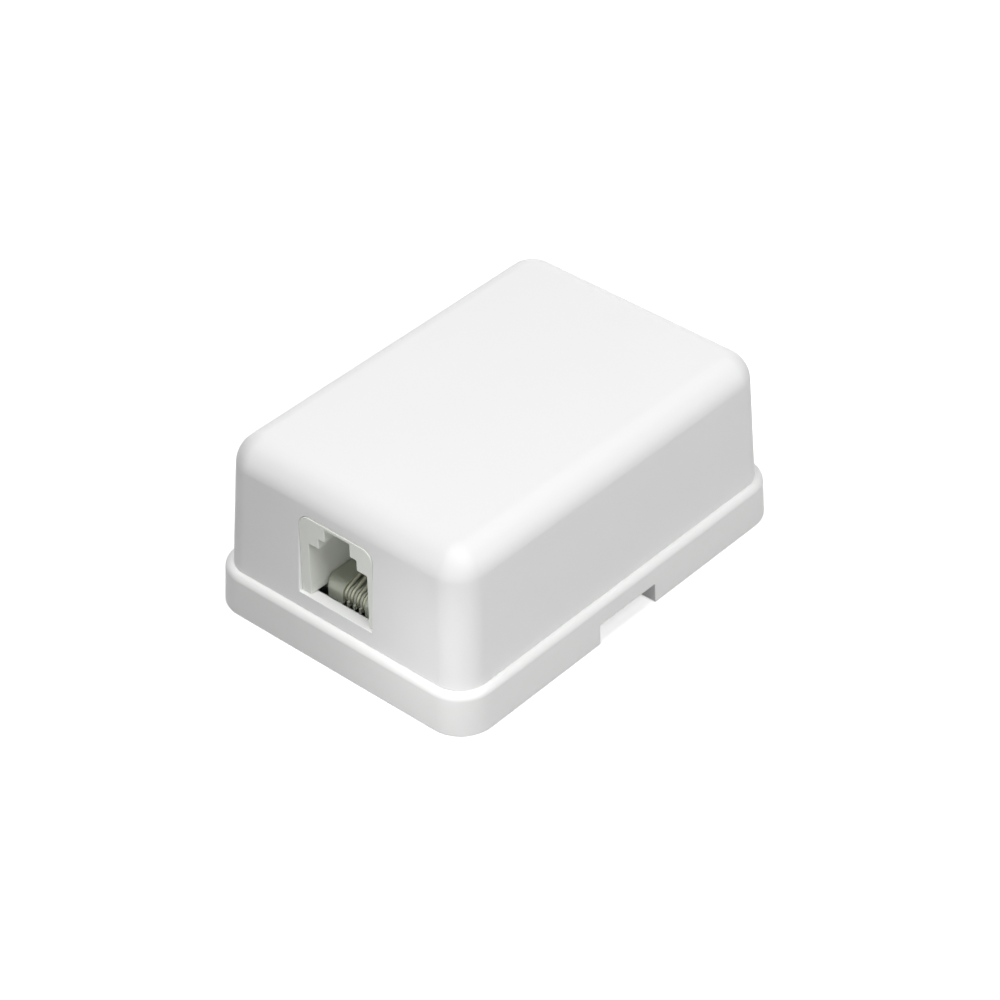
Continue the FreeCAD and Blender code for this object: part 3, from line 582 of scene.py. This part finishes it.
def nosed_block(name, centre, half, radius, rear, toe=False):
    """A bar with a round front, from the nose to some way back, whose underside can keep a square toe."""
    front = NOSE_Y - radius
    lowest = SILL if toe else SILL - 2 * radius
    bar = block(name, (centre - half, front, SILL - radius), (centre + half, rear, SILL + radius))

    def crosses_the_front(first, last):
        return abs(first.x - last.x) > CLOSE and all(
            abs(p.y - front) < CLOSE and p.z > lowest for p in (first, last))

    round_off(bar, crosses_the_front, radius, 12)
    choose(bar, "VERT", lambda p: True)
    bpy.ops.mesh.remove_doubles(threshold=CLOSE)
    close()
    return bar


def nose_groove(centre, width, radius, below, rear, bottom=CARRIER_LOW.z - OVERRUN, toe=False):
    """What a slot round the nose takes away: all but a smaller nose."""
    front = NOSE_Y - NOSE_RADIUS - OVERRUN
    groove = block("groove", (centre - width / 2, front, bottom), (centre + width / 2, below, SILL))
    weld(groove, block("groove_top", (centre - width / 2, front, SILL - SINK),
                       (centre + width / 2, rear, COMB_TOP + OVERRUN)))
    return carve(groove, nosed_block("core", centre, width, radius, rear + OVERRUN, toe))


def wire_x(number):
    return SOCKET_CENTRE + (number - 1.5) * WIRE_PITCH


def lead_x(number):
    return SOCKET_CENTRE + (number - 1.5) * LEAD_PITCH


def nose_corner(side):
    """What is cut off the nose beside a wall of the socket."""
    end = SOCKET_CENTRE + side * CARRIER_HALF
    run = NOSE_RADIUS + OVERRUN
    inset = side * NOSE_END * run / NOSE_RADIUS
    corner = block("corner", (end - inset, NOSE_Y - run, SILL - 2 * NOSE_RADIUS),
                   (end + side * OVERRUN, NOSE_Y, SILL + 2 * NOSE_RADIUS))
    choose(corner, "VERT", lambda p: p.y > NOSE_Y - CLOSE and side * p.x < side * end)
    bpy.ops.transform.translate(value=(inset, 0, 0))
    close()
    return corner


def make_contact_comb():
    """The insert that leads the contact wires round its nose and into its comb."""
    comb = nosed_block("contact_comb", SOCKET_CENTRE, CARRIER_HALF, NOSE_RADIUS, JACK_REAR, toe=True)
    left, right = SOCKET_CENTRE - CARRIER_HALF, SOCKET_CENTRE + CARRIER_HALF
    reach = SOCKET_HALF + NUB_REACH
    weld(comb, block("teeth", (left, COMB_FRONT, SILL), (right, COMB_BACK, COMB_TOP)),
         block("heel", (left, COMB_BACK - SINK, SILL), (right, JACK_REAR, REAR_TOP)),
         rod("nubs", (SOCKET_CENTRE - reach, NUB_Y, SILL), (SOCKET_CENTRE + reach, NUB_Y, SILL), NUB_RADIUS))
    carve(comb, nose_groove(SOCKET_CENTRE, 3 * WIRE_PITCH + COMB_SLOT, RIB_RADIUS, NOSE_Y,
                            COMB_FRONT - RIB_STOP, bottom=SILL - TOE_DROP, toe=True))
    for number in range(4):
        carve(comb, nose_groove(wire_x(number), COMB_SLOT, GROOVE_RADIUS, NOSE_Y + WIRE_TAIL + WIRE_SLACK,
                                COMB_BACK - COMB_WALL),
              rod("lead_bore", (lead_x(number), JACK_REAR - LEAD_SEAT - LEAD_SLACK, SILL),
                  (lead_x(number), JACK_REAR + OVERRUN, SILL), LEAD_BORE, sides=24))
    carve(comb, *[nose_corner(side) for side in (-1, 1)])
    press_flat(ease(comb, COMB_EDGE), lambda p: p.y > JACK_REAR, 1, JACK_REAR)
    seat(comb, "cover", "carrier_plastic", "contact_carrier")


def make_contact_wires():
    """The sprung wires: a tail under the nose, a bend round it, and the arm up to the comb."""
    bpy.ops.mesh.primitive_circle_add(vertices=16, radius=WIRE_RADIUS, rotation=(math.pi / 2, 0, 0),
                                      location=(0, NOSE_Y + WIRE_TAIL, SILL - WIRE_BEND))
    wire = settle(bpy.context.object, "contact_spring")
    choose(wire, "EDGE", lambda p: True)
    bpy.ops.mesh.extrude_region_move(TRANSFORM_OT_translate={"value": (0, -WIRE_TAIL, 0)})
    bpy.ops.mesh.spin(steps=20, angle=math.pi - WIRE_SLOPE, center=(0, NOSE_Y, SILL), axis=(1, 0, 0))
    arm = Vector((0, math.cos(WIRE_SLOPE), math.sin(WIRE_SLOPE))) * WIRE_ARM
    bpy.ops.mesh.extrude_region_move(TRANSFORM_OT_translate={"value": arm})
    bpy.ops.mesh.select_all(action="SELECT")
    bpy.ops.mesh.remove_doubles(threshold=CLOSE)
    bpy.ops.mesh.fill_holes(sides=0)
    bpy.ops.mesh.normals_make_consistent(inside=False)
    close()
    places = [(wire_x(number), 0, 0) for number in range(4)]
    seat_copies(ease(wire, WIRE_EDGE), "contact_{}", "contact_gold", "contact_wire", places)


# ---------------------------------------------------------------- terminals

# Each terminal's pieces are made about the Z axis, with the lug's barrel towards +X.
TERMINAL_PLACES = [(x, y, 0 if x < 0 else math.pi) for x, y in TERMINALS]


def make_inserts():
    """Flanged brass bushes with a knurled rim."""
    bush = rod("brass_bush", (0, 0, POST_TOP), (0, 0, LUG_LEVEL), INSERT_FLANGE, sides=2 * KNURL_STEPS)
    step = math.tau / KNURL_STEPS
    half_a_side = 0.25      # of a step, so that no point lies between two steps
    choose(bush, "VERT", lambda p: round(math.atan2(p.y, p.x) / step - half_a_side) % 2 == 0)
    bpy.ops.transform.resize(value=(KNURL_ROOT, KNURL_ROOT, 1), center_override=(0, 0, 0))
    close()
    weld(bush, rod("bush_barrel", (0, 0, POST_TOP - INSERT_LENGTH + INSERT_SLACK), (0, 0, POST_TOP + SINK),
                   INSERT_RADIUS))
    carve(bush, rod("bore", (0, 0, 0), (0, 0, BOX_TOP), SCREW_BORE))
    seat_copies(ease(bush, INSERT_EDGE, angle=50), "base", "insert_brass", "terminal_insert", TERMINAL_PLACES)


def make_washers():
    washer = rod("washer", (0, 0, WASHER_LEVEL), (0, 0, HEAD_LEVEL), WASHER_RADIUS, sides=64)
    carve(washer, rod("hole", (0, 0, 0), (0, 0, BOX_TOP), WASHER_HOLE))
    seat_copies(ease(washer, WASHER_EDGE), "base", "screw_steel", "terminal_washer", TERMINAL_PLACES)


def make_screws():
    """Slotted binding heads on threaded shanks."""
    top = HEAD_LEVEL + HEAD_HEIGHT
    screw = rod("binding_screw", (0, 0, HEAD_LEVEL), (0, 0, top), HEAD_RADIUS, sides=64)
    round_off(screw, lies_at(top), HEAD_ROUND, 6)
    core = SCREW_RADIUS - THREAD_DEPTH
    weld(screw, rod("shank", (0, 0, SCREW_TIP), (0, 0, HEAD_LEVEL + SINK), core, sides=32))
    carve(screw, block("driver_slot", (-2 * HEAD_RADIUS, -DRIVER_SLOT / 2, top - DRIVER_SLOT),
                       (2 * HEAD_RADIUS, DRIVER_SLOT / 2, top + OVERRUN)))
    ease(screw, SCREW_EDGE)
    thread = make_thread(core - THREAD_SINK, SCREW_RADIUS)
    pick(thread)
    screw.select_set(True)
    bpy.context.view_layer.objects.active = screw
    bpy.ops.object.join()
    seat_copies(screw, "screw_{}", "screw_steel", "terminal_screw", TERMINAL_PLACES)


def make_thread(root, crest):
    """A helical ridge up the shank, wound from a three-sided section."""
    turns = int((HEAD_LEVEL - SCREW_TIP) / THREAD_PITCH)
    bpy.ops.mesh.primitive_circle_add(vertices=3, radius=1, rotation=(math.pi / 2, 0, 0))
    ridge = settle(bpy.context.object, "thread")
    points = [(root, 0), (crest, THREAD_FLANK), (root, 2 * THREAD_FLANK)]
    for vertex, (reach, rise) in zip(ridge.data.vertices, points):
        vertex.co = (reach, 0, SCREW_TIP + rise)
    finish(ridge, "SCREW", angle=math.tau, screw_offset=THREAD_PITCH, iterations=turns,
           steps=32, render_steps=32)
    choose(ridge, "FACE", lambda p: True)
    bpy.ops.mesh.fill_holes(sides=0)
    bpy.ops.mesh.normals_make_consistent(inside=False)
    close()
    smooth(ridge)
    return ridge


def rounded_strip(name, start, radius, bottom, top):
    """A strip along X with a half-round end."""
    strip = block(name, (start, -radius, bottom), (radius, radius, top))
    round_off(strip, lambda a, b: climbs(a, b) and a.x > 0, radius, 24)
    choose(strip, "VERT", lambda p: True)
    bpy.ops.mesh.remove_doubles(threshold=CLOSE)
    close()
    return strip


def make_lugs():
    """Forked tags with crimped barrels."""
    low, high = LUG_LEVEL, LUG_LEVEL + SHEET_THICK
    level = LUG_LEVEL + BARREL_RADIUS
    lug = rounded_strip("spade_tag", -LUG_RADIUS, LUG_RADIUS, low, high)
    carve(lug, rounded_strip("fork", -2 * LUG_RADIUS, LUG_SLOT, low - OVERRUN, high + OVERRUN))
    barrel = rod("barrel", (BARREL_START, 0, level), (BARREL_END, 0, level), BARREL_RADIUS)
    weld(barrel, block("neck", (LUG_SLOT + SINK, -LUG_NECK, low), (BARREL_START + SINK, LUG_NECK, high)))
    carve(barrel, rod("bore", (BARREL_END - LEAD_CRIMP - LEAD_SLACK, 0, level),
                      (BARREL_END + OVERRUN, 0, level), LEAD_BORE))
    top = level + BARREL_RADIUS + CRIMP_RISE
    for crimp in CRIMPS:
        carve(barrel, rod("crimp", (BARREL_START + crimp, -CRIMP_HALF, top),
                          (BARREL_START + crimp, CRIMP_HALF, top), CRIMP_RADIUS, sides=24))
    weld(lug, barrel)
    press_flat(ease(lug, LUG_EDGE), lambda p: p.z < low, 2, low)
    seat_copies(lug, "base", "lug_tin", "spade_lug", TERMINAL_PLACES)


# ---------------------------------------------------------------- leads

# Each lead's bore in the comb, its terminal, and the points that it passes in between: how far
# across towards the terminals' row, how far along from the comb's rear to the terminal, and how far
# up from the sill to the cover's ceiling.
LEADS = {
    "lead_red": (0, 0, [(-0.31, 0.20, 0.06), (-0.34, 0.50, 0.40), (-0.26, 0.81, 0.52), (-0.19, 0.99, 0.28)]),
    "lead_green": (1, 1, [(-0.12, 0.17, 0.07), (-0.10, 0.39, 0.35), (-0.12, 0.65, 0.69), (-0.13, 0.90, 0.65),
                          (-0.18, 1.0, 0.29)]),
    "lead_yellow": (2, 2, [(0.07, 0.16, 0.08), (0.08, 0.39, 0.41), (0.05, 0.64, 0.72), (0.09, 0.89, 0.61),
                           (0.17, 1.0, 0.27)]),
    "lead_black": (3, 3, [(0.30, 0.21, 0.05), (0.33, 0.49, 0.36), (0.24, 0.79, 0.55), (0.17, 0.98, 0.30)]),
}


def lead_route(bore, terminal, passes):
    x, y = TERMINALS[terminal]
    inward = -math.copysign(1, x)
    mouth = x + inward * BARREL_END
    level = LUG_LEVEL + BARREL_RADIUS
    ceiling = BOX_TOP - COVER_WALL
    return [
        (lead_x(bore), JACK_REAR - LEAD_SEAT, SILL),
        (lead_x(bore), JACK_REAR + LEAD_STRAIGHT, SILL),
        *[(across * abs(x), JACK_REAR + along * (y - JACK_REAR), SILL + up * (ceiling - SILL))
          for across, along, up in passes],
        (mouth + inward * LEAD_RUN_IN, y, level),
        (mouth - inward * LEAD_CRIMP, y, level),
    ]


def make_lead(name):
    """An insulated lead, which runs from its bore in the comb to its lug, between the cover and the base."""
    points = lead_route(*LEADS[name])
    curve = bpy.data.curves.new(name + "_flex", "CURVE")
    curve.dimensions = "3D"
    curve.bevel_depth = LEAD_RADIUS
    curve.bevel_resolution = 5
    curve.use_fill_caps = True
    curve.resolution_u = 14
    line = curve.splines.new("NURBS")
    line.points.add(len(points) - 1)
    for knot, point in zip(line.points, points):
        knot.co = (*point, 1)
    line.order_u = 3
    line.use_endpoint_u = True
    lead = bpy.data.objects.new(name + "_flex", curve)
    bpy.context.scene.collection.objects.link(lead)
    pick(lead)
    bpy.ops.object.convert(target="MESH")
    choose(lead, "VERT", lambda p: True)
    bpy.ops.mesh.remove_doubles(threshold=CLOSE)
    bpy.ops.mesh.normals_make_consistent(inside=False)
    close()
    bpy.ops.object.shade_smooth_by_angle(angle=math.radians(40))
    to_metres(lead)
    wear(lead, name, name)
    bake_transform(lead)


# ---------------------------------------------------------------- finishes

def new_material(name):
    material = bpy.data.materials.new(name)
    material.use_nodes = True
    nodes, links = material.node_tree.nodes, material.node_tree.links
    return material, nodes, links, nodes["Principled BSDF"]


def add_noise(nodes, links, scale, detail=3.0, rough=0.5):
    """A noise that keeps its place on the piece."""
    place = nodes.new("ShaderNodeTexCoord")
    noise = nodes.new("ShaderNodeTexNoise")
    noise.inputs["Scale"].default_value = scale
    noise.inputs["Detail"].default_value = detail
    noise.inputs["Roughness"].default_value = rough
    links.new(place.outputs["Object"], noise.inputs["Vector"])
    return noise


def vary_colour(nodes, links, shader, colour, noise, spread):
    """Let a colour drift by a small share with a noise."""
    ramp = nodes.new("ShaderNodeValToRGB")
    low, high = 1 - spread, 1 + spread
    ramp.color_ramp.elements[0].color = (*[min(1, c * low) for c in colour], 1)
    ramp.color_ramp.elements[1].color = (*[min(1, c * high) for c in colour], 1)
    ramp.color_ramp.elements[0].position = 0.3
    ramp.color_ramp.elements[1].position = 0.7
    links.new(noise.outputs["Fac"], ramp.inputs["Fac"])
    links.new(ramp.outputs["Color"], shader.inputs["Base Color"])


def vary_roughness(nodes, links, shader, low, high, noise):
    span = nodes.new("ShaderNodeMapRange")
    span.inputs["To Min"].default_value = low
    span.inputs["To Max"].default_value = high
    links.new(noise.outputs["Fac"], span.inputs["Value"])
    links.new(span.outputs["Result"], shader.inputs["Roughness"])


def add_bump(nodes, links, shader, noise, depth, strength=1.0):
    bump = nodes.new("ShaderNodeBump")
    bump.inputs["Distance"].default_value = depth
    bump.inputs["Strength"].default_value = strength
    links.new(noise.outputs["Fac"], bump.inputs["Height"])
    links.new(bump.outputs["Normal"], shader.inputs["Normal"])


def moulded_plastic(name, colour, roughness, grain=2600.0, depth=0.004 * MM):
    """Moulded plastic: a fine spark-eroded grain, a slow drift of tone, and a soft gloss."""
    material, nodes, links, shader = new_material(name)
    shader.inputs["IOR"].default_value = 1.5
    vary_colour(nodes, links, shader, colour, add_noise(nodes, links, 60.0, 2.0), 0.006)
    vary_roughness(nodes, links, shader, roughness - 0.04, roughness + 0.04, add_noise(nodes, links, 350.0))
    add_bump(nodes, links, shader, add_noise(nodes, links, grain, 2.0), depth)
    return material


def metal(name, colour, roughness, scratches=900.0, depth=0.002 * MM, metallic=1.0):
    """Bare or plated metal with fine drawing marks."""
    material, nodes, links, shader = new_material(name)
    shader.inputs["Metallic"].default_value = metallic
    vary_colour(nodes, links, shader, colour, add_noise(nodes, links, 500.0, 3.0), 0.06)
    vary_roughness(nodes, links, shader, roughness * 0.75, roughness * 1.3,
                   add_noise(nodes, links, 1500.0, 4.0))
    add_bump(nodes, links, shader, add_noise(nodes, links, scratches, 5.0, 0.6), depth)
    return material


FINISHES = {
    "cover_plastic": moulded_plastic("cover_plastic", (0.86, 0.865, 0.86), 0.54),
    "base_plastic": moulded_plastic("base_plastic", (0.85, 0.853, 0.845), 0.45),
    "socket_plastic": moulded_plastic("socket_plastic", (0.82, 0.84, 0.785), 0.36),
    "carrier_plastic": moulded_plastic("carrier_plastic", (0.56, 0.59, 0.50), 0.4),
    "contact_gold": metal("contact_gold", (0.55, 0.55, 0.43), 0.5, metallic=0.5),
    "insert_brass": metal("insert_brass", (0.83, 0.65, 0.33), 0.25),
    "screw_steel": metal("screw_steel", (0.72, 0.71, 0.69), 0.22),
    "lug_tin": metal("lug_tin", (0.78, 0.77, 0.74), 0.3),
    "lead_red": moulded_plastic("lead_red", (0.56, 0.012, 0.01), 0.38, 1500.0),
    "lead_green": moulded_plastic("lead_green", (0.008, 0.17, 0.035), 0.38, 1500.0),
    "lead_yellow": moulded_plastic("lead_yellow", (0.78, 0.5, 0.012), 0.38, 1500.0),
    "lead_black": moulded_plastic("lead_black", (0.012, 0.012, 0.013), 0.4, 1500.0),
}


# ---------------------------------------------------------------- studio

ROOM_LIGHT = 0.12       # the white surround's strength on the object
FLOOR_BOUNCE = 0.35     # the floor's tone for bounced light
FLOOR_WHITE = 0.95      # and as it is seen
FLOOR_GLOW, FAR_GLOW = 0.4, 1.0
GLOW_NEAR, GLOW_FAR = 0.1, 0.4      # metres from the middle, where the glow starts and ends its rise


def make_camera():
    """A long lens from the front right, above; the angles are about Z from -Y, and above the floor."""
    azimuth, height, roll = math.radians(41.754), math.radians(37.868), math.radians(-0.688)
    target, distance = Vector((3.09, -3.08, 11.97)) * MM, 423.0 * MM
    back = Vector((math.sin(azimuth) * math.cos(height), -math.cos(azimuth) * math.cos(height),
                   math.sin(height)))
    camera = bpy.data.objects.new("camera", bpy.data.cameras.new("camera"))
    camera.data.lens = 120.7
    camera.data.sensor_width = 36.0
    camera.data.clip_start = 0.01
    camera.location = target + back * distance
    camera.rotation_euler = (-back).to_track_quat("-Z", "Y").to_euler()
    camera.rotation_euler.rotate_axis("Z", roll)
    bpy.context.scene.collection.objects.link(camera)
    bpy.context.scene.camera = camera


def add_softbox(name, place, size, power, aim=(0, 0, 0.012), mirrored=True):
    """A soft lamp, aimed at the object's middle, which needn't show in reflections."""
    lamp = bpy.data.lights.new(name, "AREA")
    lamp.shape = "RECTANGLE"
    lamp.size, lamp.size_y = size
    lamp.energy = power
    obj = bpy.data.objects.new(name, lamp)
    obj.location = place
    obj.rotation_euler = (Vector(aim) - Vector(place)).to_track_quat("-Z", "Y").to_euler()
    obj.visible_camera = False
    obj.visible_glossy = mirrored
    bpy.context.scene.collection.objects.link(obj)


def make_studio():
    """A white floor, a white surround, three softboxes and a small card by the front corner."""
    world = bpy.data.worlds.new("surround")
    bpy.context.scene.world = world
    world.use_nodes = True
    nodes, links = world.node_tree.nodes, world.node_tree.links
    light = nodes["Background"]
    light.inputs["Color"].default_value = (1, 1, 1, 1)
    strength = nodes.new("ShaderNodeMapRange")
    strength.inputs["To Min"].default_value = ROOM_LIGHT
    strength.inputs["To Max"].default_value = 1.0
    links.new(add_seen(nodes, links), strength.inputs["Value"])
    links.new(strength.outputs["Result"], light.inputs["Strength"])

    bpy.ops.mesh.primitive_plane_add(size=3.0, location=(0, 0, -0.00005))
    floor = bpy.context.object
    floor.name = "floor"
    floor.data.materials.append(make_floor_paint())

    add_softbox("fill_back", (-0.33, 0.33, 0.08), (0.35, 0.12), 0.85, mirrored=False)
    add_softbox("key_front", (0, -0.16, 0.58), (0.25, 0.25), 1.84)
    add_softbox("fill_right", (0.4, -0.05, 0.42), (0.3, 0.3), 1.74)
    add_softbox("front_card", (0.0205, -0.05, 0.013), (0.012, 0.012), 0.0018,
                aim=(0.012, -0.03, 0.013), mirrored=False)


def make_floor_paint():
    """White to the eye and in reflections but for the object's shadow, and duller for bounced light.

    Its glow is low near the object, so that the shadow stays, and grows to full white further out.
    """
    material, nodes, links, shader = new_material("floor_paint")
    shader.inputs["Roughness"].default_value = 0.9
    shader.inputs["Specular IOR Level"].default_value = 0.0
    seen = add_seen(nodes, links)
    shade = nodes.new("ShaderNodeMix")
    shade.data_type = "RGBA"
    shade.inputs["A"].default_value = (FLOOR_BOUNCE, FLOOR_BOUNCE, FLOOR_BOUNCE, 1)
    shade.inputs["B"].default_value = (FLOOR_WHITE, FLOOR_WHITE, FLOOR_WHITE, 1)
    links.new(seen, shade.inputs["Factor"])
    links.new(shade.outputs["Result"], shader.inputs["Base Color"])
    shader.inputs["Emission Color"].default_value = (1, 1, 1, 1)
    place = nodes.new("ShaderNodeTexCoord")
    reach = nodes.new("ShaderNodeVectorMath")
    reach.operation = "LENGTH"
    links.new(place.outputs["Object"], reach.inputs[0])
    spread = nodes.new("ShaderNodeMapRange")
    spread.inputs["From Min"].default_value = GLOW_NEAR
    spread.inputs["From Max"].default_value = GLOW_FAR
    spread.inputs["To Min"].default_value = FLOOR_GLOW
    spread.inputs["To Max"].default_value = FAR_GLOW
    links.new(reach.outputs["Value"], spread.inputs["Value"])
    glow = nodes.new("ShaderNodeMath")
    glow.operation = "MULTIPLY"
    links.new(spread.outputs["Result"], glow.inputs[0])
    links.new(seen, glow.inputs[1])
    links.new(glow.outputs["Value"], shader.inputs["Emission Strength"])
    return material


def add_seen(nodes, links):
    """1 for rays that show the surroundings to the eye, straight, mirrored or through glass."""
    path = nodes.new("ShaderNodeLightPath")
    seen = path.outputs["Is Camera Ray"]
    for kind in ("Is Glossy Ray", "Is Transmission Ray"):
        either = nodes.new("ShaderNodeMath")
        either.operation = "MAXIMUM"
        links.new(seen, either.inputs[0])
        links.new(path.outputs[kind], either.inputs[1])
        seen = either.outputs["Value"]
    return seen


# ---------------------------------------------------------------- all together

make_base_plate()
make_cover_shell()
make_socket_shell()
make_contact_comb()
make_contact_wires()
make_inserts()
make_washers()
make_screws()
make_lugs()
for lead in LEADS:
    make_lead(lead)

make_camera()
make_studio()

bpy.context.scene.view_settings.view_transform = "Standard"
bpy.context.view_layer.update()
